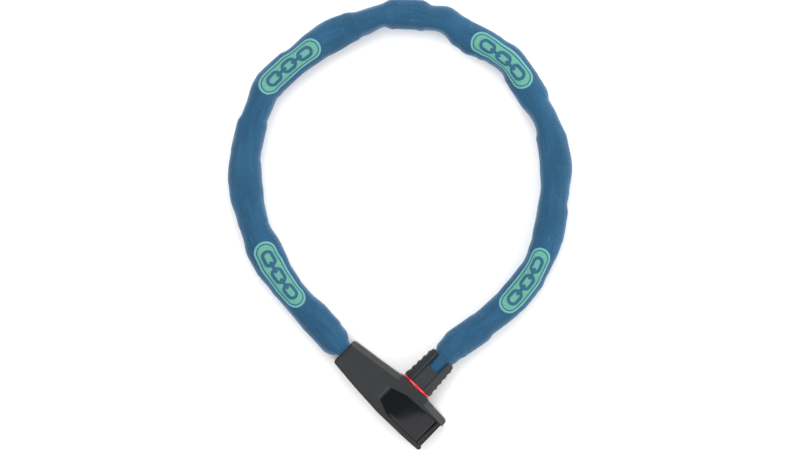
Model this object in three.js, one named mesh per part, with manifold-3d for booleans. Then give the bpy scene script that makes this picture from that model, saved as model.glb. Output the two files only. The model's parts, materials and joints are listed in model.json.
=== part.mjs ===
// A chain lock, lying closed on its flat back: a tapered lock body, a plug on the chain's other end,
// twenty-seven square-section links and the woven sleeve that covers them.
// Millimetres. +X runs along the lock body to its keyhole end, +Y along the plug and out of the body,
// +Z up. The origin is on the flat back, under the point where those two axes cross.

import * as THREE from 'three';
import { mergeVertices } from 'three/addons/utils/BufferGeometryUtils.js';
import Module from 'manifold-3d';

const wasm = await Module();
wasm.setup();

// ---------------------------------------------------------------- driving dimensions

const GAP = 0.3;                      // clearance between neighbouring pieces

const BODY_THICKNESS = 25;
const BACK_WALL = 1.6;
const CEILING_Z = 23.2;               // inside of the front shell
const SPLIT_Z = 12.5;                 // parting plane of the two housing shells
const CHAIN_END = -55.4;
const KEY_END = 33.2;
const SEAT_Y = 16.5;                  // flat seat that the plug closes on
const SEAT_HALF = 13;
const WINDOW_DEPTH = 1.2;
const RAMP_LENGTH = 1.9;              // the slope at the window's short end

const CHAIN_Z = 12.4;                 // height of the chain's middle over the back face
const LINK_COUNT = 27;
const LINK_WIRE = 6;                  // square wire
const LINK_CHAMFER = 1;
const HALF_SLOT = 4.4;                // half the inner width of a link
const LINK_HALF_WIDTH = HALF_SLOT + LINK_WIRE;

const SLEEVE_HALF = 12.3;             // from the middle to a flat of the twelve-sided sleeve
const SLEEVE_WALL = 0.9;
const SLEEVE_SEGMENTS = 8;
const SLEEVE_STEPS = 10;

const PIN_RADIUS = 3;
const ANCHOR_X = -40.6;
const PLUG_PIN_Y = 34.5;

const BOLT_RADIUS = 5;
const BOLT_NECK = 3.2;
const BOLT_TIP_Y = -8;
const LATCH_HALF = 1.7;               // half the latch plate's thickness
const LATCH_TRAVEL = 3;

const COLLAR_START = 19;
const COLLAR_FLOOR = 20.5;
const COLLAR_END = 46;
const COLLAR_BASE_HALF = 12.4;
const COLLAR_TIP_HALF = 10.7;
const COLLAR_HALF_HEIGHT = 12.3;
const RIB_PITCH = 5.2;
const RIB_DEPTH = 0.45;
const FORK_START = 34.5;
const FORK_HALF = 4.6;
const FORK_ROUND = 1.8;

const LOCK_Y = -1;                    // the lock cylinder runs along X at this Y and Z
const LOCK_Z = 12.5;
const CORE_RADIUS = 5.5;
const CORE = [13.9, 27.6];
const WAFER_X = [17.2, 20.2, 23.2, 26.2];
const CAM_PIN_OFFSET = 1.5;           // along both Y and Z, so the pin stands at 45 degrees
const CAM_PIN_RADIUS = 1.1;

const CAP = { x: [28.1, 31.1], y: [-11.4, 9.2], z: [1.9, 24.3] };
const COVER_HALF = 2.6;
const COVER_TRAVEL = 6;

const SCREWS = [[-20, 0], [19, 12.4]];
const SCREW_RADIUS = 2.2;

// The chain's middle line, between the hinge outside the plug and the hinge outside the body.
const ROUTE = [
  [3.4, 77], [6.4, 97], [6.8, 109], [4.8, 132], [-2.3, 155], [-15, 175], [-29.5, 194], [-48, 211],
  [-70, 223], [-95, 230.3], [-121, 234], [-148, 226.5], [-174, 219.5], [-197, 203.5], [-212.5, 178.5],
  [-222.4, 153], [-227.2, 127], [-229, 101], [-220.4, 77], [-208, 54.8], [-191.5, 37], [-172.6, 23.4],
  [-152.6, 13.3], [-132, 6.8], [-111, 3], [-89, 1.4],
];

// ---------------------------------------------------------------- materials

const finish = (color, roughness, metalness) =>
  new THREE.MeshStandardMaterial({ color, roughness, metalness });
const BLACK_PLASTIC = finish(0x1d1f20, 0.55, 0);
const GLOSS_PLASTIC = finish(0x101216, 0.12, 0);
const RED_RUBBER = finish(0xd01824, 0.4, 0);
const STEEL = finish(0x8a8d90, 0.35, 1);
const BRASS = finish(0xb59a4c, 0.35, 1);
const FABRIC = finish(0x2d6a9c, 0.9, 0);

// ---------------------------------------------------------------- solid helpers

function solid(geometry) {
  geometry.deleteAttribute('normal');
  geometry.deleteAttribute('uv');
  const merged = mergeVertices(geometry, 1e-4);
  return new wasm.Manifold(new wasm.Mesh({
    numProp: 3,
    vertProperties: new Float32Array(merged.attributes.position.array),
    triVerts: new Uint32Array(merged.index.array),
  }));
}

function geometryOf(body) {
  const mesh = body.getMesh();
  const geometry = new THREE.BufferGeometry();
  geometry.setAttribute('position', new THREE.BufferAttribute(mesh.vertProperties, 3));
  geometry.setIndex(new THREE.BufferAttribute(mesh.triVerts, 1));
  return geometry;
}

const cut = (body, ...tools) => tools.reduce((rest, tool) => rest.subtract(tool), body);
const join = (body, ...others) => others.reduce((whole, other) => whole.add(other), body);

// A box between two X, two Y and two Z values.
function block(x, y, z) {
  const geometry = new THREE.BoxGeometry(x[1] - x[0], y[1] - y[0], z[1] - z[0]);
  geometry.translate((x[0] + x[1]) / 2, (y[0] + y[1]) / 2, (z[0] + z[1]) / 2);
  return solid(geometry);
}

const around = (middle, half) => [middle - half, middle + half];

function shapeOf(points) {
  return new THREE.Shape(points.map(([x, y]) => new THREE.Vector2(x, y)));
}

// A plate with its outline in XY.
function plate(points, z) {
  const geometry = new THREE.ExtrudeGeometry(shapeOf(points), { depth: z[1] - z[0], bevelEnabled: false });
  geometry.translate(0, 0, z[0]);
  return solid(geometry);
}

// Round bars along each axis, between two values on that axis.
function rodX(radius, x, y, z, sides = 20) {
  const geometry = new THREE.CylinderGeometry(radius, radius, x[1] - x[0], sides);
  geometry.rotateZ(-Math.PI / 2);
  geometry.translate((x[0] + x[1]) / 2, y, z);
  return solid(geometry);
}

function rodY(radius, y, x, z, sides = 20) {
  const geometry = new THREE.CylinderGeometry(radius, radius, y[1] - y[0], sides);
  geometry.translate(x, (y[0] + y[1]) / 2, z);
  return solid(geometry);
}

function rodZ(radius, z, x, y, sides = 12) {
  const geometry = new THREE.CylinderGeometry(radius, radius, z[1] - z[0], sides);
  geometry.rotateX(Math.PI / 2);
  geometry.translate(x, y, (z[0] + z[1]) / 2);
  return solid(geometry);
}

// ---------------------------------------------------------------- the lock body's shells

const BODY_OUTLINE = [
  [CHAIN_END, -10.1], [CHAIN_END + 0.9, -11.4], [-32, -13.8], [-8, -15.5], [17, -15.4],
  [KEY_END - 1, -14.7], [KEY_END, -13.7], [KEY_END, 12.6], [KEY_END - 0.3, 14], [KEY_END - 1, 14.7],
  [SEAT_HALF + 1, SEAT_Y - 0.6], [SEAT_HALF, SEAT_Y], [-SEAT_HALF, SEAT_Y],
  [-SEAT_HALF - 1, SEAT_Y - 0.8], [-32, 13.1], [CHAIN_END + 2.6, 10.6], [CHAIN_END + 0.6, 9.9],
  [CHAIN_END, 8.7],
];
const CAVITY_OUTLINE = [
  [CHAIN_END - 5, -7.4], [CHAIN_END + 4, -7.6], [-30, -9.2], [-12, -11.4], [27.5, -11.4],
  [27.5, 9], [13, 9.5], [10.5, 14], [-10.5, 14], [-14, 9.5], [-30, 9.2],
  [CHAIN_END + 4, 7.6], [CHAIN_END - 5, 7.4],
];
const WINDOW_OUTLINE = [[-12.8, -7.4], [-1.8, -11.9], [27.8, -11.7], [27.8, 9.5], [-0.8, 8.3], [-12.8, 4.3]];

// The bay at the key end takes the end cap between two side walls that stand out past it.
function endBay(z) {
  return block([27, KEY_END + 1], [CAP.y[0] - GAP, CAP.y[1] + GAP], z);
}

function plugOpening() {
  return rodY(BOLT_RADIUS + 0.6, [13, SEAT_Y + 1], 0, CHAIN_Z);
}

// A wedge that takes off the top edge between two outline points at 45 degrees. The outline runs
// anticlockwise, so outwards is to the right of the way along it.
function topBevel(from, to, width) {
  const along = new THREE.Vector3(to[0] - from[0], to[1] - from[1], 0);
  const length = along.length();
  along.normalize();
  const reach = 4;
  const section = shapeOf([[-width, 0], [reach, -width - reach], [reach, 2], [-width, 2]]);
  const geometry = new THREE.ExtrudeGeometry(section, { depth: length, bevelEnabled: false });
  const outwards = new THREE.Vector3(along.y, -along.x, 0);
  geometry.applyMatrix4(new THREE.Matrix4().makeBasis(outwards, new THREE.Vector3(0, 0, 1), along.negate()));
  geometry.translate(to[0], to[1], BODY_THICKNESS);
  return solid(geometry);
}

// A wedge that slopes the body's top down to the window at the window's short end.
function windowRamp() {
  const [x, y] = WINDOW_OUTLINE[0];
  const far = WINDOW_OUTLINE[WINDOW_OUTLINE.length - 1][1];
  const top = x - RAMP_LENGTH;
  const section = shapeOf([[top, 0], [x + 0.1, -WINDOW_DEPTH], [x + 0.1, 1], [top, 1]]);
  const geometry = new THREE.ExtrudeGeometry(section, { depth: far - y, bevelEnabled: false });
  geometry.rotateX(Math.PI / 2);
  geometry.translate(0, far, BODY_THICKNESS);
  return solid(geometry);
}

function housingFront() {
  return cut(
    plate(BODY_OUTLINE, [SPLIT_Z + GAP / 2, BODY_THICKNESS]),
    plate(CAVITY_OUTLINE, [SPLIT_Z - 1, CEILING_Z]),
    plate(WINDOW_OUTLINE, [BODY_THICKNESS - WINDOW_DEPTH, BODY_THICKNESS + 1]),
    endBay([SPLIT_Z - 1, BODY_THICKNESS + 1]),
    windowRamp(),
    plugOpening(),
    topBevel([KEY_END + 2, 14.6], [SEAT_HALF, SEAT_Y - 0.5], 4.6),
    topBevel([-SEAT_HALF, SEAT_Y - 0.7], [CHAIN_END - 2, 9.9], 3.8),
    topBevel([CHAIN_END, 12], [CHAIN_END, -12], 1.2),
    topBevel([CHAIN_END - 2, -11.4], [-6, -15.6], 1.3),
    topBevel([-10, -15.5], [KEY_END + 2, -15.3], 1.3),
  );
}

function housingRear() {
  return cut(
    plate(BODY_OUTLINE, [0, SPLIT_Z - GAP / 2]),
    plate(CAVITY_OUTLINE, [BACK_WALL, SPLIT_Z + 1]),
    endBay([CAP.z[0] - GAP, SPLIT_Z + 1]),
    plugOpening(),
    ...SCREWS.map(([x, y]) => rodZ(SCREW_RADIUS + GAP, [-1, 1.3], x, y)),
  );
}

function housingScrew([x, y]) {
  const slot = block(around(x, 1.5), around(y, 0.35), [0, 0.6]);
  return cut(rodZ(SCREW_RADIUS, [0.1, 1], x, y), slot);
}

function windowInlay() {
  const outline = [[-12.5, -7.2], [-1.7, -11.6], [27.5, -11.4], [27.5, 9.2], [-0.7, 8], [-12.5, 4.1]];
  return plate(outline, [BODY_THICKNESS - WINDOW_DEPTH + GAP, BODY_THICKNESS - 0.3]);
}

// ---------------------------------------------------------------- the key end

function endCap() {
  const [inner, outer] = CAP.x;
  const slide = [LOCK_Y - COVER_HALF - COVER_TRAVEL - GAP, LOCK_Y + COVER_HALF + GAP];
  return cut(
    block(CAP.x, CAP.y, CAP.z),
    block([inner - 1, outer], around(LOCK_Y, 1.4), around(LOCK_Z, 4.2)),
    block([inner + 1.1, outer - 0.8], slide, around(LOCK_Z, 5.8)),
    block([inner + 1.1, outer + 1], slide, around(LOCK_Z, 4.7)),
  );
}

function keyholeCover() {
  const leaf = block([CAP.x[0] + 1.4, CAP.x[1] - 1.1], around(LOCK_Y, COVER_HALF), around(LOCK_Z, 5.5));
  const rib = block([CAP.x[1] - 1.2, CAP.x[1] - 0.3], around(LOCK_Y, 0.8), around(LOCK_Z, 4));
  return join(leaf, rib);
}

function cylinderShell() {
  return cut(
    rodX(8, [CORE[0] + GAP, CORE[1] - 0.4], LOCK_Y, LOCK_Z, 24),
    rodX(CORE_RADIUS + GAP, [0, 40], LOCK_Y, LOCK_Z, 24),
  );
}

function cylinderCore() {
  const pockets = WAFER_X.map((x) => block(around(x, 0.7), around(LOCK_Y, 3), around(LOCK_Z, 4.2)));
  const keyway = block([CORE[0] + 2, CORE[1] + 1], around(LOCK_Y, 1.1), around(LOCK_Z, 3.8));
  return cut(rodX(CORE_RADIUS, CORE, LOCK_Y, LOCK_Z, 24), keyway, ...pockets);
}

function wafer(x) {
  const window = block(around(x, 1), around(LOCK_Y, 1.4), around(LOCK_Z, 2.6));
  return cut(block(around(x, 0.4), around(LOCK_Y, 2.7), around(LOCK_Z, 3.9)), window);
}

function camDisc() {
  const pin = rodX(CAM_PIN_RADIUS, [9, 12.2], LOCK_Y + CAM_PIN_OFFSET, LOCK_Z + CAM_PIN_OFFSET, 10);
  return join(rodX(4.2, [11.8, CORE[0] - GAP], LOCK_Y, LOCK_Z), pin);
}

// ---------------------------------------------------------------- the locking parts

// The plate's round hole lets the bolt past. Moved down, its narrow slot holds the bolt's neck.
function latchPlate() {
  const low = CHAIN_Z - 6.9;
  const high = CHAIN_Z + LATCH_TRAVEL + 5.2;
  const pinZ = LOCK_Z + CAM_PIN_OFFSET;
  return cut(
    join(
      block([-7.6, 7.9], around(0, LATCH_HALF), [low, high]),
      block([7.7, 11.4], [-LATCH_HALF, 3.2], around(pinZ, 3.2)),
    ),
    rodY(BOLT_RADIUS + GAP, around(0, 4), 0, CHAIN_Z),
    block(around(0, BOLT_NECK + 0.4), around(0, 4), [CHAIN_Z, CHAIN_Z + LATCH_TRAVEL]),
    rodY(BOLT_NECK + 0.4, around(0, 4), 0, CHAIN_Z + LATCH_TRAVEL),
    block([8.6, 12], [LOCK_Y + 0.1, 4], around(pinZ, CAM_PIN_RADIUS + 0.35)),
  );
}

function latchSpring() {
  const turns = 4;
  const coilRadius = 1.35;
  const wireRadius = 0.35;
  const foot = BACK_WALL + 0.7;
  const head = LOCK_Z + CAM_PIN_OFFSET - 3.2 - 0.7;
  class Helix extends THREE.Curve {
    getPoint(t, target = new THREE.Vector3()) {
      const turn = 2 * Math.PI * turns * t;
      return target.set(
        9.6 + coilRadius * Math.cos(turn),
        0.6 + coilRadius * Math.sin(turn),
        foot + (head - foot) * t,
      );
    }
  }
  const wire = new THREE.Shape().absarc(0, 0, wireRadius, 0, 2 * Math.PI);
  const geometry = new THREE.ExtrudeGeometry(wire, {
    steps: 8 * turns, curveSegments: 3, bevelEnabled: false, extrudePath: new Helix(),
  });
  return solid(geometry);
}

const HOLDER_X = [-8.6, 7.4];
const HOLDER_Z = [2.2, 22.6];

function socketBlock() {
  const body = block(HOLDER_X, [LATCH_HALF + GAP, 13.6], HOLDER_Z);
  return cut(body, rodY(BOLT_RADIUS + 0.4, [0, 15], 0, CHAIN_Z));
}

function boltGuide() {
  const body = block(HOLDER_X, [BOLT_TIP_Y - 1.8, -LATCH_HALF - GAP], HOLDER_Z);
  return cut(body, rodY(BOLT_RADIUS + 0.4, [BOLT_TIP_Y - 0.6, 0], 0, CHAIN_Z));
}

function anchorBracket() {
  const x = [ANCHOR_X - 7, ANCHOR_X + 14.6];
  return cut(
    block(x, around(0, 7), around(CHAIN_Z, 7)),
    block([x[0] - 1, x[1] - 3], around(0, 3.7), around(CHAIN_Z, 12)),
    rodY(PIN_RADIUS + GAP, around(0, 12), ANCHOR_X, CHAIN_Z),
  );
}

// ---------------------------------------------------------------- the plug

function plugBolt() {
  const web = block(around(0, 7.2), [COLLAR_FLOOR + GAP, PLUG_PIN_Y - 10.8], around(CHAIN_Z, 7));
  const cheeks = [-1, 1].map((side) => {
    const inner = Math.min(side * 3.6, side * 7.2);
    const outer = Math.max(side * 3.6, side * 7.2);
    return block([inner, outer], [COLLAR_FLOOR + 1, PLUG_PIN_Y + 5], around(CHAIN_Z, 6.4));
  });
  const profile = [[0, BOLT_TIP_Y], [BOLT_RADIUS - 1.5, BOLT_TIP_Y], [BOLT_RADIUS, BOLT_TIP_Y + 1.5],
    [BOLT_RADIUS, -2.2], [BOLT_NECK, -2.2], [BOLT_NECK, 2.2], [BOLT_RADIUS, 2.2], [BOLT_RADIUS, 22], [0, 22]];
  const turned = new THREE.LatheGeometry(profile.map(([r, y]) => new THREE.Vector2(r, y)), 20);
  turned.translate(0, 0, CHAIN_Z);
  return cut(
    join(solid(turned), web, ...cheeks),
    rodX(PIN_RADIUS + GAP, around(0, 12), PLUG_PIN_Y, CHAIN_Z),
  );
}

// Half the collar's width at a distance along the plug: a taper with grip waves on it.
function collarHalf(y) {
  const share = (y - COLLAR_START) / (COLLAR_END - COLLAR_START);
  const wave = y < COLLAR_START + 2 ? 1 : Math.cos((2 * Math.PI * (y - COLLAR_START - 2)) / RIB_PITCH);
  return COLLAR_BASE_HALF + (COLLAR_TIP_HALF - COLLAR_BASE_HALF) * share + RIB_DEPTH * (wave - 1);
}

function gripCollar() {
  const side = [];
  for (let y = COLLAR_START; y <= COLLAR_END; y += RIB_PITCH / 4) {
    side.push([collarHalf(y), y]);
  }
  side.push([COLLAR_TIP_HALF - 1.6, COLLAR_END]);
  const outline = [...side, ...side.map(([x, y]) => [-x, y]).reverse()];
  const round = rodY(13.4, [COLLAR_START - 1, COLLAR_END + 1], 0, CHAIN_Z, 24);
  const fork = join(
    block(around(0, FORK_HALF), [FORK_START + FORK_ROUND, COLLAR_END + 1], [-5, 30]),
    block(around(0, FORK_HALF - FORK_ROUND), [FORK_START, COLLAR_END], [-5, 30]),
    ...[-1, 1].map((side) => (
      rodZ(FORK_ROUND, [-5, 30], side * (FORK_HALF - FORK_ROUND), FORK_START + FORK_ROUND)
    )),
  );
  return cut(
    plate(outline, around(CHAIN_Z, COLLAR_HALF_HEIGHT)).intersect(round),
    block(around(0, 8.3), [COLLAR_FLOOR, COLLAR_END + 1], around(CHAIN_Z, 8)),
    block(around(0, 6.6), [COLLAR_FLOOR, COLLAR_END + 1], around(CHAIN_Z, LINK_HALF_WIDTH + 0.5)),
    rodY(BOLT_RADIUS + GAP, [0, COLLAR_END], 0, CHAIN_Z),
    fork,
    panelGroove(1, 1),
    panelGroove(-1, 1),
    panelGroove(1, -1),
    panelGroove(-1, -1),
  );
}

// A shallow groove along the collar that sets off its flat middle panel, on one side of the panel.
function panelGroove(side, face) {
  const outer = FORK_HALF + 4;
  const profile = [[FORK_HALF, 2], [FORK_HALF, 0], [FORK_HALF + 0.5, -1.2], [outer, 0.4], [outer, 2]];
  const points = profile.map(([x, z]) => [side * x, -face * (COLLAR_HALF_HEIGHT + z)]);
  const geometry = new THREE.ExtrudeGeometry(shapeOf(points), { depth: 40, bevelEnabled: false });
  geometry.rotateX(-Math.PI / 2);
  geometry.translate(0, COLLAR_START - 5, CHAIN_Z);
  return solid(geometry);
}

function gasketRing() {
  const y = [SEAT_Y + GAP, COLLAR_START - GAP];
  return cut(rodY(12.2, y, 0, CHAIN_Z, 28), rodY(6.2, [0, 30], 0, CHAIN_Z));
}

// ---------------------------------------------------------------- the chain

// A link's outline in XY with its slot, chamfered on every edge, lying along X about the origin.
function linkGeometry(slotLength) {
  const straight = slotLength / 2 - HALF_SLOT;
  const outer = new THREE.Shape();
  outer.absarc(straight, 0, LINK_HALF_WIDTH, -Math.PI / 2, Math.PI / 2);
  outer.absarc(-straight, 0, LINK_HALF_WIDTH, Math.PI / 2, 1.5 * Math.PI);
  const slot = new THREE.Path();
  slot.absarc(straight, 0, HALF_SLOT, -Math.PI / 2, Math.PI / 2);
  slot.absarc(-straight, 0, HALF_SLOT, Math.PI / 2, 1.5 * Math.PI);
  outer.holes.push(slot);
  const geometry = new THREE.ExtrudeGeometry(outer, {
    depth: LINK_WIRE - 2 * LINK_CHAMFER,
    curveSegments: 3,
    bevelSegments: 1,
    bevelThickness: LINK_CHAMFER,
    bevelSize: LINK_CHAMFER,
    bevelOffset: -LINK_CHAMFER,
  });
  geometry.translate(0, 0, LINK_CHAMFER - LINK_WIRE / 2);
  return geometry;
}

// Odd links stand on edge and even ones lie flat. Two links turn about the middle of the upright
// bow, so an upright link is longer between its hinges than a flat one of the same size.
const isFlat = (number) => number % 2 === 0;
const endReach = (slotLength) => slotLength - HALF_SLOT + LINK_WIRE / 2;
const hingeSpacing = (number, slotLength) =>
  (isFlat(number) ? slotLength - 2 * HALF_SLOT : slotLength + LINK_WIRE);

// The hinge points for a slot length, and how far the last one falls short of its place.
function layChain(slotLength) {
  const start = new THREE.Vector3(0, PLUG_PIN_Y + endReach(slotLength), CHAIN_Z);
  const finish = new THREE.Vector3(ANCHOR_X - endReach(slotLength), 0, CHAIN_Z);
  const middle = ROUTE.map(([x, y]) => new THREE.Vector3(x, y, CHAIN_Z));
  const line = new THREE.CatmullRomCurve3([start, ...middle, finish]).getSpacedPoints(1600);
  const hinges = [start];
  let index = 0;
  for (let number = 2; number < LINK_COUNT; number += 1) {
    const from = hinges[hinges.length - 1];
    const spacing = hingeSpacing(number, slotLength);
    while (index < line.length && line[index].distanceTo(from) < spacing) {
      index += 1;
    }
    if (index === line.length) {
      return { hinges, short: number - LINK_COUNT };
    }
    const before = line[index - 1];
    const step = (spacing - before.distanceTo(from))
      / (line[index].distanceTo(from) - before.distanceTo(from));
    hinges.push(before.clone().lerp(line[index], step));
  }
  return { hinges, finish, short: hinges[hinges.length - 1].distanceTo(finish) };
}

// The slot length with which the chain just fills the route.
function fitSlotLength() {
  let low = 25;
  let high = 34;
  for (let round = 0; round < 40; round += 1) {
    const trial = (low + high) / 2;
    if (layChain(trial).short < 0) {
      high = trial;
    } else {
      low = trial;
    }
  }
  return low;
}

const SLOT_LENGTH = fitSlotLength();
const { hinges } = layChain(SLOT_LENGTH);
hinges[hinges.length - 1].set(ANCHOR_X - endReach(SLOT_LENGTH), 0, CHAIN_Z);

// The two ends that each link lies between: its pin or hinge on either side.
const joints = [
  new THREE.Vector3(0, PLUG_PIN_Y, CHAIN_Z),
  ...hinges,
  new THREE.Vector3(ANCHOR_X, 0, CHAIN_Z),
];

// ---------------------------------------------------------------- the assembly

const lock = new THREE.Group();

function addMesh(name, geometry, material) {
  const mesh = new THREE.Mesh(geometry, material);
  mesh.name = name;
  lock.add(mesh);
  return mesh;
}

const addSolid = (name, body, material) => addMesh(name, geometryOf(body), material);

addSolid('housing_rear', housingRear(), BLACK_PLASTIC);
addSolid('housing_front', housingFront(), BLACK_PLASTIC);
addSolid('window_inlay', windowInlay(), GLOSS_PLASTIC);
addSolid('end_cap', endCap(), BLACK_PLASTIC);
addSolid('keyhole_cover', keyholeCover(), BLACK_PLASTIC);
SCREWS.forEach((place, index) => addSolid(`housing_screw_${index + 1}`, housingScrew(place), STEEL));
addSolid('cylinder_shell', cylinderShell(), BRASS);
addSolid('cylinder_core', cylinderCore(), BRASS);
WAFER_X.forEach((x, index) => addSolid(`wafer_${index + 1}`, wafer(x), BRASS));
addSolid('cam_disc', camDisc(), STEEL);
addSolid('latch_plate', latchPlate(), STEEL);
addSolid('latch_spring', latchSpring(), STEEL);
addSolid('socket_block', socketBlock(), STEEL);
addSolid('bolt_guide', boltGuide(), STEEL);
addSolid('anchor_bracket', anchorBracket(), STEEL);
addSolid('anchor_pin', rodY(PIN_RADIUS, around(0, 7.6), ANCHOR_X, CHAIN_Z), STEEL);
addSolid('plug_bolt', plugBolt(), STEEL);
addSolid('plug_pin', rodX(PIN_RADIUS, around(0, 7.8), PLUG_PIN_Y, CHAIN_Z), STEEL);
addSolid('grip_collar', gripCollar(), BLACK_PLASTIC);
addSolid('gasket_ring', gasketRing(), RED_RUBBER);

const linkShape = linkGeometry(SLOT_LENGTH);
for (let number = 1; number <= LINK_COUNT; number += 1) {
  const from = joints[number - 1];
  const to = joints[number];
  const along = to.clone().sub(from).normalize();
  const link = addMesh(`chain_link_${String(number).padStart(2, '0')}`, linkShape, STEEL);
  // A pin sits where the slot's round end has its middle, as a flat link's hinge does.
  const pinShift = (HALF_SLOT + LINK_WIRE / 2) / 2;
  link.position.copy(from).lerp(to, 0.5);
  if (number === 1) {
    link.position.addScaledVector(along, -pinShift);
  }
  if (number === LINK_COUNT) {
    link.position.addScaledVector(along, pinShift);
  }
  link.rotation.order = 'ZYX';
  link.rotation.z = Math.atan2(along.y, along.x);
  link.rotation.x = isFlat(number) ? 0 : Math.PI / 2;
}

// ---------------------------------------------------------------- the sleeve

// The sleeve follows the links: through every hinge and the middle of every link.
const sleevePoints = [new THREE.Vector3(0, COLLAR_END + GAP, CHAIN_Z)];
hinges.forEach((hinge, index) => {
  sleevePoints.push(hinge);
  if (index + 1 < hinges.length) {
    sleevePoints.push(hinge.clone().lerp(hinges[index + 1], 0.5));
  }
});
sleevePoints.push(new THREE.Vector3(CHAIN_END - 2 * GAP, 0, CHAIN_Z));
const sleeveLine = new THREE.CatmullRomCurve3(sleevePoints);
const sleeveLength = sleeveLine.getLength();

class SleeveStretch extends THREE.Curve {
  constructor(from, to) {
    super();
    this.from = from;
    this.to = to;
  }

  getPoint(t, target = new THREE.Vector3()) {
    const share = this.from + (this.to - this.from) * t;
    return sleeveLine.getPointAt(Math.min(Math.max(share, 0), 1), target);
  }
}

function twelveSided(half) {
  const radius = half / Math.cos(Math.PI / 12);
  const corners = [];
  for (let corner = 0; corner < 12; corner += 1) {
    const angle = (Math.PI / 6) * (corner + 0.5);
    corners.push([radius * Math.cos(angle), radius * Math.sin(angle)]);
  }
  return shapeOf(corners);
}

const sleeveSection = twelveSided(SLEEVE_HALF);
sleeveSection.holes.push(twelveSided(SLEEVE_HALF - SLEEVE_WALL));
for (let segment = 0; segment < SLEEVE_SEGMENTS; segment += 1) {
  const gapShare = GAP / 2 / sleeveLength;
  const stretch = new SleeveStretch(
    segment / SLEEVE_SEGMENTS + gapShare,
    (segment + 1) / SLEEVE_SEGMENTS - gapShare,
  );
  const geometry = new THREE.ExtrudeGeometry(sleeveSection, {
    steps: SLEEVE_STEPS, bevelEnabled: false, extrudePath: stretch,
  });
  addMesh(`sleeve_${segment + 1}`, geometry, FABRIC);
}

export default lock;
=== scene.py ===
"""A chain lock lying closed on a pale floor: materials, woven sleeve and fine shapes round the CAD frame."""

import json
import math

import bpy
import numpy as np
from mathutils import Matrix, Vector


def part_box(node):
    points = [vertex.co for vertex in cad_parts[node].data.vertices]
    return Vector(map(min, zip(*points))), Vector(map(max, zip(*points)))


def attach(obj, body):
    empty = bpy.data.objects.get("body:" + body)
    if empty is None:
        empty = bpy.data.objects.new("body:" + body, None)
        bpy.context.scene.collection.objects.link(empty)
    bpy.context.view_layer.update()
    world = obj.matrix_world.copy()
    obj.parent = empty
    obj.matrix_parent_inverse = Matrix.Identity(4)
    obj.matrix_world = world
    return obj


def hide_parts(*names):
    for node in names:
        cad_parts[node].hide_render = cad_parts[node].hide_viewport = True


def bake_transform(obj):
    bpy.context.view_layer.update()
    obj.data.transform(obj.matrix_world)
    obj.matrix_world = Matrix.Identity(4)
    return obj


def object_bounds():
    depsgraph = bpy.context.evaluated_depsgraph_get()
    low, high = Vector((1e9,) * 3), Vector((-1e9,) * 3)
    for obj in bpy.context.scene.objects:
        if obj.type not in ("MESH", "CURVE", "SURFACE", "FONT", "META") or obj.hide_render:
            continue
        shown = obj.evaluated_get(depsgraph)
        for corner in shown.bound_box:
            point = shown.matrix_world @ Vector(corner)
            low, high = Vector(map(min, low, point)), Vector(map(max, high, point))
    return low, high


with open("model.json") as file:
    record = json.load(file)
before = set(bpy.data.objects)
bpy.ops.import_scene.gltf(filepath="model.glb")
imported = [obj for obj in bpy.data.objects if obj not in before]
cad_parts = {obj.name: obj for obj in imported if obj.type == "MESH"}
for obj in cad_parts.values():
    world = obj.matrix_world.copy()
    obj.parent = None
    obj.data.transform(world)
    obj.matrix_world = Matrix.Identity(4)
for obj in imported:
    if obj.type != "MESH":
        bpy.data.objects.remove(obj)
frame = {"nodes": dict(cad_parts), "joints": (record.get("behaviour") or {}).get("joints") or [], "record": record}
cad_low, cad_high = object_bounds()
NODES = frame["nodes"]
JOINTS = {joint["name"]: joint for joint in frame["joints"]}
MM = 0.001

# ------------------------------------------------------------------ camera, floor and light

CAMERA_HEIGHT = 2.6
SENSOR_WIDTH = 36.0                     # mm
VIEW_WIDTH = 0.584                      # what the camera's width covers at the floor
PICTURE_UP = (-0.695, 0.719, 0.0)       # the loop hangs above the lock body in the picture
AIM_SHIFT = Vector((0.0142, -0.0211, 0.0))
HORIZON_LIGHT = 0.3                     # the room's brightness by height
MIDDLE_LIGHT = 1.05
OVERHEAD_LIGHT = 0.2
LIGHT_HEIGHTS = (0.1, 0.55, 0.88, 1.0)  # where the room's brightness changes, from horizon to overhead
FLOOR_HALF = 6.0
FLOOR_GAP = 0.2 * MM                    # keeps the floor clear of the lock's flat back


def aim_point():
    middle = (cad_low + cad_high) / 2
    return Vector((middle.x, middle.y, 0.0)) + AIM_SHIFT


def make_camera():
    data = bpy.data.cameras.new("camera")
    data.sensor_width = SENSOR_WIDTH
    data.lens = data.sensor_width * CAMERA_HEIGHT / VIEW_WIDTH
    data.clip_end = 20.0
    camera = bpy.data.objects.new("camera", data)
    bpy.context.scene.collection.objects.link(camera)
    up = Vector(PICTURE_UP).normalized()
    right = up.cross(Vector((0, 0, 1)))
    camera.rotation_mode = "QUATERNION"
    camera.rotation_quaternion = Matrix((right, up, (0, 0, 1))).transposed().to_quaternion()
    camera.location = aim_point() + Vector((0, 0, CAMERA_HEIGHT))
    bpy.context.scene.camera = camera


def area_light(name, place, size, energy, target):
    data = bpy.data.lights.new(name, "AREA")
    data.shape = "DISK"
    data.size = size
    data.energy = energy
    light = bpy.data.objects.new(name, data)
    bpy.context.scene.collection.objects.link(light)
    light.location = place
    light.rotation_mode = "QUATERNION"
    light.rotation_quaternion = (Vector(place) - Vector(target)).to_track_quat("Z", "Y")


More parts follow.
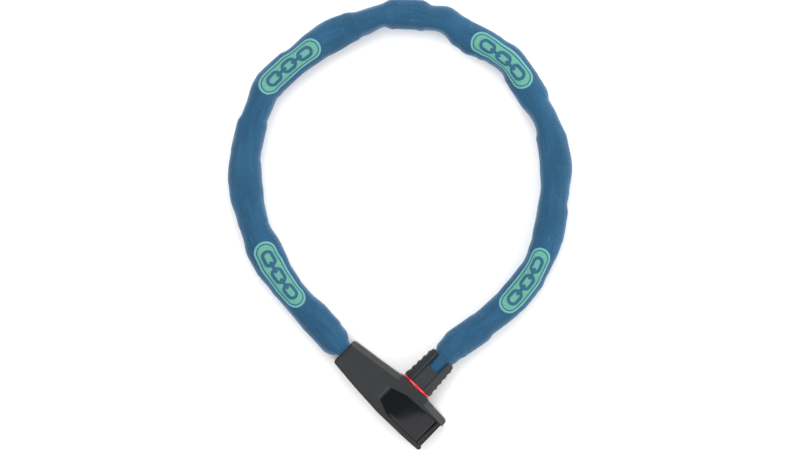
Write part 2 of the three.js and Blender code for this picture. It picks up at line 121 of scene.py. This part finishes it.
def make_lights():
    target = aim_point()
    up = Vector(PICTURE_UP).normalized()
    right = up.cross(Vector((0, 0, 1)))

    def above(up_by, right_by, height):
        return target + up * up_by + right * right_by + Vector((0, 0, height))

    area_light("key", above(0.8, -0.45, 1.8), size=1.8, energy=27, target=target)
    area_light("fill", above(-1.0, 1.0, 0.95), size=1.4, energy=13, target=target)
    # a soft disc overhead whose edge shows in the polished inlay
    area_light("disc", above(-0.505, 0.12, 1.8), size=0.6, energy=0.85, target=target)
    # a weak low light past the collar, which the body's long sloping facets catch
    area_light("low", Vector((-0.1, 1.6, 0.26)), size=1.2, energy=14, target=Vector((0, 0, 0)))
    bpy.context.scene.world = studio_world()
    bpy.context.scene.view_settings.view_transform = "Standard"


def grey(level):
    return (level, level, level, 1)


def studio_world():
    """A pale room: dim at the horizon and straight overhead, bright between."""
    world = bpy.data.worlds.new("studio")
    world.use_nodes = True
    tree = world.node_tree
    direction = tree.nodes.new("ShaderNodeTexCoord")
    parts = tree.nodes.new("ShaderNodeSeparateXYZ")
    ramp = tree.nodes.new("ShaderNodeValToRGB")
    tree.links.new(direction.outputs["Generated"], parts.inputs[0])
    tree.links.new(parts.outputs["Z"], ramp.inputs["Fac"])
    stops = ramp.color_ramp.elements
    low, *middles, top = LIGHT_HEIGHTS
    stops[0].position, stops[0].color = low, grey(HORIZON_LIGHT)
    stops[1].position, stops[1].color = top, grey(OVERHEAD_LIGHT)
    for height in middles:
        stops.new(height).color = grey(MIDDLE_LIGHT)
    background = tree.nodes["Background"]
    tree.links.new(ramp.outputs["Color"], background.inputs["Color"])
    background.inputs["Strength"].default_value = 1.0
    return world


def make_floor():
    mesh = bpy.data.meshes.new("floor")
    corners = [(FLOOR_HALF * x, FLOOR_HALF * y, 0) for x, y in ((-1, -1), (1, -1), (1, 1), (-1, 1))]
    mesh.from_pydata(corners, [], [(0, 1, 2, 3)])
    floor = bpy.data.objects.new("floor", mesh)
    floor.location = (0, 0, cad_low.z - FLOOR_GAP)
    bpy.context.scene.collection.objects.link(floor)
    surface = Shader("floor_paint").set(base=(0.93, 0.93, 0.93), roughness=0.7)
    floor.data.materials.append(surface.material)


# ------------------------------------------------------------------ shader helper

class Shader:
    """A node material with a few short ways to add and link nodes."""

    def __init__(self, name):
        self.material = bpy.data.materials.new(name)
        self.material.use_nodes = True
        self.tree = self.material.node_tree
        self.shader = self.tree.nodes["Principled BSDF"]

    def set(self, base=None, **values):
        if base is not None:
            self.shader.inputs["Base Color"].default_value = (*base, 1)
        names = {"roughness": "Roughness", "metallic": "Metallic", "specular": "Specular IOR Level",
                 "sheen": "Sheen Weight", "sheen_roughness": "Sheen Roughness"}
        for key, value in values.items():
            self.shader.inputs[names[key]].default_value = value
        return self

    def node(self, kind, **settings):
        made = self.tree.nodes.new(kind)
        for key, value in settings.items():
            setattr(made, key, value)
        return made

    def plug(self, value, socket):
        if isinstance(value, bpy.types.NodeSocket):
            self.tree.links.new(value, socket)
        else:
            socket.default_value = value

    def math(self, operation, *values):
        made = self.node("ShaderNodeMath", operation=operation)
        for value, socket in zip(values, made.inputs):
            self.plug(value, socket)
        return made.outputs[0]

    def smooth(self, value, low, high, to_low=0.0, to_high=1.0):
        """An eased step: to_low where the value is under low, to_high where it is over high."""
        made = self.node("ShaderNodeMapRange", interpolation_type="SMOOTHSTEP")
        names = ("Value", "From Min", "From Max", "To Min", "To Max")
        for name, number in zip(names, (value, low, high, to_low, to_high)):
            self.plug(number, made.inputs[name])
        return made.outputs["Result"]

    def mix(self, share, first, second):
        made = self.node("ShaderNodeMix", data_type="RGBA")
        self.plug(share, made.inputs["Factor"])
        for value, socket in ((first, made.inputs[6]), (second, made.inputs[7])):
            self.plug((*value, 1) if isinstance(value, tuple) else value, socket)
        return made.outputs[2]

    def noise(self, scale, detail, vector=None):
        made = self.node("ShaderNodeTexNoise")
        made.inputs["Scale"].default_value = scale
        made.inputs["Detail"].default_value = detail
        if vector is None:
            vector = self.node("ShaderNodeTexCoord").outputs["Object"]
        self.plug(vector, made.inputs["Vector"])
        return made.outputs["Fac"]

    def bump(self, height, distance):
        made = self.node("ShaderNodeBump")
        made.inputs["Strength"].default_value = 1.0
        made.inputs["Distance"].default_value = distance
        self.plug(height, made.inputs["Height"])
        return made.outputs["Normal"]

    def out(self, name, value):
        self.plug(value, self.shader.inputs[name])
        return self


# ------------------------------------------------------------------ materials

def moulded_plastic(name, base, roughness, grain=0.03):
    """Fine-grained black moulding, a little uneven in gloss."""
    s = Shader(name)
    s.set(base=base, specular=0.38)
    broad = s.noise(60, 3)
    fine = s.noise(2600, 2)
    s.out("Base Color", s.mix(s.smooth(broad, 0.3, 0.7), tuple(c * 0.9 for c in base),
                              tuple(c * 1.12 for c in base)))
    s.out("Roughness", s.smooth(broad, 0.25, 0.75, roughness - 0.05, roughness + 0.06))
    s.out("Normal", s.bump(fine, grain * MM))
    return s.material


def polished_plastic(name):
    s = Shader(name)
    s.set(base=(0.0025, 0.003, 0.0045), specular=0.5)
    broad = s.noise(25, 2)
    s.out("Roughness", s.smooth(broad, 0.3, 0.7, 0.03, 0.05))
    s.out("Normal", s.bump(s.noise(180, 1), 0.004 * MM))
    return s.material


def red_rubber(name):
    s = Shader(name)
    s.set(base=(0.62, 0.008, 0.02), specular=0.5)
    broad = s.noise(300, 2)
    s.out("Base Color", s.mix(s.smooth(broad, 0.3, 0.7), (0.5, 0.006, 0.016), (0.72, 0.012, 0.028)))
    s.out("Roughness", s.smooth(broad, 0.3, 0.7, 0.26, 0.36))
    return s.material


def machined_metal(name, base, roughness):
    """Turned or milled metal with fine marks and a few dull spots."""
    s = Shader(name)
    s.set(base=base, metallic=1.0)
    marks = s.noise(900, 3)
    broad = s.noise(90, 2)
    s.out("Base Color", s.mix(s.smooth(broad, 0.35, 0.7), tuple(c * 0.82 for c in base), base))
    s.out("Roughness", s.smooth(broad, 0.3, 0.75, roughness - 0.06, roughness + 0.12))
    s.out("Normal", s.bump(marks, 0.02 * MM))
    return s.material


PATCH_PLACES = (0.0945, 0.271, 0.444, 0.610)  # along the sleeve, from the fork's floor
PATCH_HALF_LENGTH = 27.2 * MM
PATCH_HALF_WIDTH = 8.2 * MM
RIB_PITCH = 1.45 * MM                         # between the weave's cross ribs
STITCH_PITCH = 0.9 * MM
WEAVE_DEPTH = 0.16 * MM
MOTIF_LINK = (6.5 * MM, 4.5 * MM)             # half the length and half the width of a printed chain link
MOTIF_BAR = (4.8 * MM, 1.2 * MM)              # the same for the link that stands on edge between two
MOTIF_PITCH = 7.1 * MM                        # from one printed link to the next
MOTIF_STROKE = 1.2 * MM                       # half the printed line's width
PATCH_LINE_IN = 2.0 * MM                      # how far the patch's thin line lies inside its edge
BLUE = (0.0115, 0.083, 0.166)
DARK_BLUE = (0.008, 0.06, 0.126)
LIGHT_BLUE = (0.035, 0.17, 0.3)
DASH_BLUE = (0.16, 0.33, 0.48)
# painted shade for the furrows between the weave's ribs
SHADED_FURROW_BLUE = (0.006, 0.035, 0.08)
MINT = (0.085, 0.285, 0.195)
MINT_LIGHT = (0.105, 0.31, 0.25)
MINT_RIM = (0.125, 0.32, 0.33)
MOTIF_BLUE = (0.012, 0.07, 0.135)
# painted shade for the furrows between the ribs on the patches
LINE_GREEN = (0.012, 0.08, 0.1)
SHADED_FURROW_GREEN = (0.02, 0.13, 0.16)
SHEEN_TINT = (0.45, 0.7, 1.0, 1)


def woven_sleeve(name):
    """Ribbed blue weave with four printed patches. The UV map holds metres round and along the sleeve."""
    s = Shader(name)
    s.set(specular=0.25, sheen=0.55, sheen_roughness=0.45)
    s.shader.inputs["Sheen Tint"].default_value = SHEEN_TINT
    uv = s.node("ShaderNodeUVMap", uv_map="weave").outputs[0]
    parts = s.node("ShaderNodeSeparateXYZ")
    s.plug(uv, parts.inputs[0])
    around, along = parts.outputs[0], parts.outputs[1]

    def stretched(scale_around, scale_along, detail):
        place = s.node("ShaderNodeCombineXYZ")
        s.plug(s.math("MULTIPLY", around, scale_around), place.inputs[0])
        s.plug(s.math("MULTIPLY", along, scale_along), place.inputs[1])
        return s.noise(1.0, detail, place.outputs[0])

    # the threads: cross ribs, each broken into stitches
    rib = s.math("SINE", s.math("MULTIPLY", along, 2 * math.pi / RIB_PITCH))
    stitch = s.math("SINE", s.math("MULTIPLY", around, 2 * math.pi / STITCH_PITCH))
    row = s.math("FLOOR", s.math("DIVIDE", along, RIB_PITCH))
    coarse = s.math("MULTIPLY", around, 2 * math.pi / (2 * STITCH_PITCH))
    shifted = s.math("SINE", s.math("ADD", coarse, s.math("MULTIPLY", row, math.pi)))
    stitches = s.math("ADD", s.math("MULTIPLY", stitch, 0.12), s.math("MULTIPLY", shifted, 0.2))
    height = s.math("ADD", s.math("MULTIPLY", rib, 0.7), stitches)

    # colour: broad tone that differs at random, lengthwise streaks, sparse light dashes, and painted shade in the
    # furrows between the ribs, deeper towards the sides
    streaks = stretched(1400, 28, 3)
    broad = stretched(90, 30, 2)
    dashes = stretched(1500, 190, 1)
    colour = s.mix(s.smooth(broad, 0.3, 0.7), DARK_BLUE, BLUE)
    colour = s.mix(s.smooth(streaks, 0.5, 0.8, 0.0, 0.5), colour, LIGHT_BLUE)
    colour = s.mix(s.smooth(dashes, 0.7, 0.78, 0.0, 0.45), colour, DASH_BLUE)
    side = s.math("ABSOLUTE", around)
    # painted shade: the furrows between the ribs are darkened in the colour, more towards the sides
    furrow_shade = s.smooth(rib, -1.0, 0.6, 1.0, 0.0)
    shade_deeper_at_sides = s.smooth(side, 5 * MM, 14 * MM, 0.5, 0.8)
    colour = s.mix(s.math("MULTIPLY", furrow_shade, shade_deeper_at_sides), colour, SHADED_FURROW_BLUE)

    # patches: distance inside a stadium, a thin inner line, and a row of chain links as the motif
    offset = None
    for place in PATCH_PLACES:
        distance = s.math("ABSOLUTE", s.math("SUBTRACT", along, place))
        offset = distance if offset is None else s.math("MINIMUM", offset, distance)

    def stadium(middle, half_length, half_width):
        """The distance outside a stadium whose middle is that far along from a patch's middle."""
        from_middle = s.math("ABSOLUTE", s.math("SUBTRACT", offset, middle))
        past = s.math("MAXIMUM", s.math("SUBTRACT", from_middle, half_length - half_width), 0.0)
        squares = s.math("ADD", s.math("MULTIPLY", past, past), s.math("MULTIPLY", side, side))
        return s.math("SUBTRACT", s.math("SQRT", squares), half_width)

    def stroke(distance, at, half):
        """A line of that half width, at that distance inside a stadium's edge."""
        from_line = s.math("ABSOLUTE", s.math("ADD", distance, at))
        return s.smooth(from_line, half * 0.75, half * 1.25, 1.0, 0.0)

    edge = stadium(0.0, PATCH_HALF_LENGTH, PATCH_HALF_WIDTH)
    inside = s.smooth(edge, -0.12 * MM, 0.12 * MM, 1.0, 0.0)
    rings = [stroke(stadium(place, *MOTIF_LINK), MOTIF_STROKE, MOTIF_STROKE)
             for place in (0.0, 2 * MOTIF_PITCH)]
    bar = s.smooth(stadium(MOTIF_PITCH, *MOTIF_BAR), -0.1 * MM, 0.1 * MM, 1.0, 0.0)
    motif = s.math("MAXIMUM", s.math("MAXIMUM", *rings), bar)
    mint = s.mix(s.smooth(stretched(700, 700, 2), 0.35, 0.65), MINT, MINT_LIGHT)
    mint = s.mix(s.smooth(edge, -2.2 * MM, -1.8 * MM, 0.0, 0.85), mint, MINT_RIM)
    mint = s.mix(stroke(edge, PATCH_LINE_IN, 0.45 * MM), mint, LINE_GREEN)
    mint = s.mix(motif, mint, MOTIF_BLUE)
    # painted shade in the furrows between the ribs on the patches
    mint = s.mix(s.smooth(rib, -1.0, 0.6, 0.25, 0.0), mint, SHADED_FURROW_GREEN)
    s.out("Base Color", s.mix(inside, colour, mint))
    s.out("Roughness", s.smooth(inside, 0.0, 1.0, 0.78, 0.6))
    flatter_inside = s.smooth(inside, 0.0, 1.0, 1.0, 0.45)
    s.out("Normal", s.bump(s.math("MULTIPLY", height, flatter_inside), WEAVE_DEPTH))
    return s.material


# ------------------------------------------------------------------ the sleeve

SLEEVE_START = Vector((0.0, 33.5 * MM))       # inside the collar's fork
SLEEVE_END_IN = 3.5 * MM                      # how far the sleeve reaches into the body
STEP = 0.8 * MM                               # between the sleeve's rows of points
ROUND = 96                                    # points round the sleeve
LINE_STEP = 0.5 * MM                          # between the points of its middle line
SMOOTHING = 5.5 * MM                          # how far the line's bends are spread
GIRTH_SQUARE = 236.0                          # half width squared plus half height squared, mm^2
LOWEST, HIGHEST = 8.8, 11.7                   # limits of the sleeve's half height, mm
FLAT_REACH = 10.95                            # half a flat link's width plus the cloth, mm
TALL_REACH = 10.95                            # half an upright link's height plus the cloth, mm
FLAT_LINK = (9.0 * MM, 11.5 * MM)             # its straight side's half length, and its end's reach past it
TALL_LINK = (10.0 * MM, 11.5 * MM)
TALL_BAR = (8.6 * MM, 10.8 * MM)              # the same for the top of an upright link's bar

# Where the sleeve swells and narrows: the distance (mm) from its start, and how far its right and
# left edges stand out from its middle line (mm), seen along the way from the plug to the body.
BULGES = [
    (0, 7.95, 7.95), (12.5, 8.1, 8.1), (17, 9.1, 10.1), (25, 9.3, 10.5), (45, 9.7, 10.0), (72, 11.1, 10.6),
    (82, 11.0, 11.2), (95, 10.4, 10.7), (111, 11.1, 9.1), (122, 11.6, 10.1), (135, 10.9, 11.4),
    (152, 9.8, 10.8), (165, 11.0, 9.9), (180, 12.3, 10.9), (200, 11.0, 10.0), (217, 10.4, 7.4),
    (238, 8.4, 11.0), (249, 11.2, 11.2), (268, 14.0, 7.2), (281, 12.0, 8.6), (298, 9.0, 12.4),
    (308, 11.4, 9.6), (321, 13.8, 5.9), (338, 9.2, 9.2), (353, 10.5, 8.6), (368, 9.4, 6.9),
    (381, 9.3, 8.8), (405, 12.1, 11.8), (420, 11.5, 10.9), (438, 10.0, 10.5), (453, 10.6, 9.9),
    (467, 11.9, 8.8), (484, 10.3, 8.9), (501, 9.5, 8.8), (535, 13.6, 11.2), (545, 12.8, 11.6),
    (564, 10.4, 9.7), (572, 11.3, 10.0), (588, 13.7, 12.2), (598, 13.0, 12.1), (617, 10.7, 9.9),
    (635, 10.8, 10.2), (650, 11.1, 12.2), (663, 8.0, 12.1), (672, 5.4, 9.2), (683, 5.2, 5.8),
    (710, 5.2, 5.2),
]
BAR_TOP = 10.56                               # an upright link's square bar plus the cloth, mm
BAR_HALF = 3.3                                # half that bar's width plus the cloth, mm
IN_COLLAR = 13.0                              # the sleeve's first stretch, inside the collar's fork, mm
IN_BODY = 5.0                                 # its last stretch, in the body's mouth, mm
MOUTH_REACH = 10.75                           # half the height free inside the collar and the body, mm
MOUTH_GROWTH = 0.5                            # how fast that height grows outside them
END_HEIGHT = 10.55                            # the sleeve's half height at its two ends, mm
END_REACH = 14 * MM                           # how far from its ends that height fades in
SECTION_CLEAR = 0.25                          # what the cross-section leaves free under it, mm
FLOOR_CLEAR = 0.12                            # what its wrinkles leave free, mm
SQUARENESS = 2.25                             # a slightly boxy oval: 2 is an ellipse
SQUARER_AT_PLUG = 0.75                        # boxier over the plug's two cheeks inside the collar

OPEN_PIVOT = 13                               # the pivot that no joint ties


def node_middle(name):
    low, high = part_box(name)
    return (low + high) / 2


def link_pivots():
    """The points where neighbouring links meet, in metres, from the plug's link to the body's link."""
    points = {int(name[-2:]): Vector(joint["pos_m"]) for name, joint in JOINTS.items()
              if name.startswith("chain_hinge_")}
    middle = node_middle(f"chain_link_{OPEN_PIVOT + 1:02d}")
    points[OPEN_PIVOT] = 2 * middle - points[OPEN_PIVOT + 1]
    return [points[number] for number in sorted(points)]


HINGES = link_pivots()
CHAIN_Z = HINGES[0].z
LINK_BODIES = ["plug", *[f"link_{number:02d}" for number in range(2, len(HINGES) + 1)], "lock_body"]


class SleeveLine:
    """The smoothed middle line of the chain, by distance along it."""

    def __init__(self):
        body_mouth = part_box("housing_front")[0].x
        corners = [SLEEVE_START, *[hinge.xy for hinge in HINGES],
                   Vector((body_mouth + SLEEVE_END_IN, 0.0))]
        dense = []
        for first, second in zip(corners, corners[1:]):
            count = max(2, int((second - first).length / LINE_STEP))
            dense += [first.lerp(second, i / count) for i in range(count)]
        dense.append(corners[-1])
        points = np.array([tuple(p) for p in dense])
        reach = int(3 * SMOOTHING / LINE_STEP)
        weights = np.exp(-0.5 * (np.arange(-reach, reach + 1) * LINE_STEP / SMOOTHING) ** 2)
        weights /= weights.sum()
        first, last = points[0], points[-1]
        padded = np.vstack([2 * first - points[reach:0:-1], points, 2 * last - points[-2:-reach - 2:-1]])
        self.points = np.column_stack([np.convolve(padded[:, i], weights, "valid") for i in (0, 1)])
        steps = np.linalg.norm(np.diff(self.points, axis=0), axis=1)
        self.distance = np.concatenate([[0], np.cumsum(steps)])
        self.length = float(self.distance[-1])
        self.tangents = np.gradient(self.points, axis=0)
        self.tangents /= np.linalg.norm(self.tangents, axis=1)[:, None]
        right = np.column_stack([self.tangents[:, 1], -self.tangents[:, 0]])
        self.links_right = ((points - self.points) * right).sum(axis=1) / MM

    def at(self, distances):
        place = np.column_stack([np.interp(distances, self.distance, self.points[:, i]) for i in (0, 1)])
        along = np.column_stack([np.interp(distances, self.distance, self.tangents[:, i]) for i in (0, 1)])
        return place, along / np.linalg.norm(along, axis=1)[:, None]

    def nearest(self, point):
        gaps = np.linalg.norm(self.points - np.array(point)[None, :], axis=1)
        return float(self.distance[int(gaps.argmin())])


LINE = SleeveLine()
LINK_MIDDLES = [LINE.nearest((first.xy + second.xy) / 2) for first, second in zip(HINGES, HINGES[1:])]


def eased(distance_mm, stops):
    """Cosine steps between the stops' values, a column for each value that a stop holds."""
    places = np.array([stop[0] for stop in stops], float)
    values = np.array([stop[1:] for stop in stops], float)
    index = np.clip(np.searchsorted(places, distance_mm, side="right") - 1, 0, len(places) - 2)
    share = np.clip((distance_mm - places[index]) / (places[index + 1] - places[index]), 0, 1)
    share = ((1 - np.cos(np.pi * share)) / 2)[:, None]
    return values[index] * (1 - share) + values[index + 1] * share


def near_links(distance, links, flat_length, round_radius):
    """From 0 to 1: how much of the nearest link's full width stands under the sleeve there."""
    gap = np.min(np.abs(distance[:, None] - np.array(links)[None, :]), axis=1)
    past = np.clip((gap - flat_length) / round_radius, 0, 1)
    return np.sqrt(1 - past ** 2)


def sleeve_section(distance):
    """The reach to the right and left and the half height, in mm, at distances in metres."""
    flat_need = FLAT_REACH * near_links(distance, LINK_MIDDLES[0::2], *FLAT_LINK)
    tall_need = TALL_REACH * near_links(distance, tall_links(), *TALL_LINK)
    links_right = np.interp(distance, LINE.distance, LINE.links_right)
    edges = soft_max(eased(distance / MM, BULGES),
                     np.column_stack([flat_need + links_right, flat_need - links_right]))
    width = edges.mean(axis=1)
    height = np.sqrt(np.clip(GIRTH_SQUARE - width ** 2, LOWEST ** 2, HIGHEST ** 2))
    height = soft_max(height, tall_need)
    ends = np.minimum(distance / END_REACH, (LINE.length - distance) / END_REACH)
    height = np.where(ends < 1, END_HEIGHT + (height - END_HEIGHT) * np.clip(ends, 0, 1) ** 2, height)
    return edges, np.minimum(height, CHAIN_Z / MM - SECTION_CLEAR)


def soft_max(first, second, softness=0.35):
    """The larger of the two, rounded where they cross."""
    return (first + second + np.sqrt((first - second) ** 2 + softness)) / 2


def tall_links():
    """Where the middles of the upright links are along the sleeve, with the two end links."""
    half_pitch = (HINGES[1] - HINGES[0]).length / 2
    return [LINK_MIDDLES[0] - 2 * half_pitch, *LINK_MIDDLES[1::2], LINK_MIDDLES[-1] + 2 * half_pitch]


def folds(angle, distance):
    """Radial push, in mm: gathers at the two ends, and slight slack wrinkles everywhere."""
    d = distance / MM
    end = LINE.length / MM
    gather = np.exp(-((d - end) / 17.0) ** 2) * 0.75 + np.exp(-((d - 24) / 9.0) ** 2) * 0.3
    lobes = np.cos(9 * angle + 1.1 * np.sin(d / 9.0)) * 0.6 + np.cos(14 * angle - d / 13.0) * 0.4
    slack = (0.10 * np.sin(5 * angle + d / 11.0) * np.sin(d / 17.0 + 2 * np.sin(angle))
             + 0.07 * np.sin(8 * angle - d / 7.3 + 1.7) + 0.06 * np.sin(3 * angle + d / 4.1))
    return gather * lobes + slack * np.clip((d - 8) / 10, 0, 1)


def sleeve_rows(distances):
    """Points (rows, round, 3) of the sleeve's outside, and their place round it in metres."""
    place, along = LINE.at(distances)
    side = np.column_stack([along[:, 1], -along[:, 0]])
    edges, height = sleeve_section(distances)
    width = edges.mean(axis=1)
    angle = 2 * np.pi * np.arange(ROUND) / ROUND       # 0 at the bottom, so the seam is hidden
    grid_angle, grid_distance = np.meshgrid(angle, distances)
    near_plug = np.clip(1.5 - distances / MM / 12, 0, 1)
    sharp = (SQUARENESS + SQUARER_AT_PLUG * near_plug)[:, None]
    sine, cosine = np.sin(grid_angle), -np.cos(grid_angle)
    radius = (np.abs(sine) ** sharp + np.abs(cosine) ** sharp) ** (-1 / sharp)
    push = folds(grid_angle, grid_distance)
    reach = np.where(sine > 0, edges[:, :1], edges[:, 1:])
    across = reach * radius * sine + push * sine
    up = height[:, None] * radius * cosine + push * cosine
    # a rounded form that keeps the cloth over the upright links' bars
    past_bar = np.clip((np.abs(across) - BAR_HALF) / (reach - BAR_HALF), 0, 1)
    bar = BAR_TOP * near_links(distances, tall_links(), *TALL_BAR)
    over_bar = bar[:, None] * (1 - past_bar ** sharp) ** (1 / sharp)
    up = np.where(cosine > 0, np.maximum(up, over_bar), np.minimum(up, -over_bar))
    clear = np.minimum(distances / MM - IN_COLLAR, (LINE.length - distances) / MM - IN_BODY)
    limit = (MOUTH_REACH + MOUTH_GROWTH * np.maximum(clear, 0))[:, None]
    up = np.clip(up, np.maximum(-limit, FLOOR_CLEAR - CHAIN_Z / MM), limit)
    points = np.empty((*grid_angle.shape, 3))
    points[..., 0] = place[:, None, 0] + side[:, None, 0] * across * MM
    points[..., 1] = place[:, None, 1] + side[:, None, 1] * across * MM
    points[..., 2] = CHAIN_Z + up * MM
    girth = np.pi * np.sqrt((width ** 2 + height ** 2) / 2) * MM
    around = (grid_angle / np.pi - 1) * girth[:, None]
    return points, around


def sleeve_piece(number, start, finish, material):
    """One stretch of the sleeve, from the middle of one link to the middle of the next."""
    count = max(4, round((finish - start) / STEP))
    distances = np.linspace(start, finish, count + 1)
    points, around = sleeve_rows(distances)
    mesh = bpy.data.meshes.new(f"sleeve_cloth_{number:02d}")
    corners = []
    for row in range(count):
        for column in range(ROUND):
            right = (column + 1) % ROUND
            corners.append((row * ROUND + column, row * ROUND + right,
                            (row + 1) * ROUND + right, (row + 1) * ROUND + column))
    mesh.from_pydata(points.reshape(-1, 3).tolist(), [], corners)
    # the UV map: each face's four corners, with one more column so that the seam's faces aren't folded back
    layer = mesh.uv_layers.new(name="weave")
    step = around[:, 1:2] - around[:, 0:1]
    wide = np.concatenate([around, around[:, -1:] + step], axis=1)
    uvs = np.empty((count, ROUND, 4, 2))
    for corner, (down, over) in enumerate(((0, 0), (0, 1), (1, 1), (1, 0))):
        uvs[:, :, corner, 0] = wide[down:down + count, over:over + ROUND]
        uvs[:, :, corner, 1] = distances[down:down + count, None]
    layer.data.foreach_set("uv", uvs.ravel().astype(np.float32))
    mesh.polygons.foreach_set("use_smooth", [True] * len(mesh.polygons))
    cloth = bpy.data.objects.new(mesh.name, mesh)
    bpy.context.scene.collection.objects.link(cloth)
    mesh.materials.append(material)
    return cloth


def make_sleeve():
    material = woven_sleeve("woven_sleeve")
    bounds = [0.0, *LINK_MIDDLES, LINE.length]
    for index, hinge in enumerate(HINGES):
        number = index + 1
        cloth = sleeve_piece(number, bounds[index], bounds[number], material)
        first, second = LINK_BODIES[index], LINK_BODIES[number]
        _, along = LINE.at(np.array([LINE.nearest(hinge.xy)]))
        if number == OPEN_PIVOT:
            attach(cloth, first)
        else:
            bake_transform(cloth)
    for solid in sorted(name for name in NODES if name.startswith("sleeve_")):
        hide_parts(solid)


# ------------------------------------------------------------------ the CAD pieces' finish

WELD_DISTANCE = 0.002 * MM
SHARP_ANGLE = math.radians(25)


def soften(node, width, segments=3):
    """Rounds a CAD node's edges (width in mm) with modifiers, without touching its mesh."""
    piece = NODES[node]
    weld = piece.modifiers.new("weld", "WELD")
    weld.merge_threshold = WELD_DISTANCE
    bevel = piece.modifiers.new("round", "BEVEL")
    bevel.width = width * MM
    bevel.segments = segments
    bevel.limit_method = "ANGLE"
    bevel.angle_limit = SHARP_ANGLE
    bevel.use_clamp_overlap = True
    piece.data.polygons.foreach_set("use_smooth", [True] * len(piece.data.polygons))
    normals = piece.modifiers.new("normals", "WEIGHTED_NORMAL")
    normals.keep_sharp = False


def paint(node, material):
    piece = NODES[node]
    piece.data.materials.clear()
    piece.data.materials.append(material)


def finish_cad():
    black = moulded_plastic("black_moulding", (0.006, 0.0075, 0.0085), 0.4)
    grip = moulded_plastic("grip_moulding", (0.007, 0.010, 0.0105), 0.46, 0.05)
    gloss = polished_plastic("polished_inlay")
    steel = machined_metal("lock_steel", (0.48, 0.49, 0.5), 0.32)
    chain = machined_metal("chain_steel", (0.4, 0.41, 0.42), 0.42)
    brass = machined_metal("lock_brass", (0.58, 0.43, 0.18), 0.3)
    by_slot = {"shell_plastic": black, "gloss_plastic": gloss, "red_rubber": red_rubber("red_ring"),
               "lock_steel": steel, "chain_steel": chain, "brass": brass}
    for part in frame["record"]["subparts"]:
        if part["material_slot"] in by_slot:
            paint(part["node"], by_slot[part["material_slot"]])
    paint("grip_collar", grip)
    paint("end_cap", gloss)
    for node in ("housing_front", "housing_rear"):
        soften(node, 0.5)
    for node in ("window_inlay", "end_cap", "keyhole_cover", "gasket_ring"):
        soften(node, 0.25, 2)
    soften("grip_collar", 0.6)


make_camera()
make_lights()
make_floor()
finish_cad()
make_sleeve()
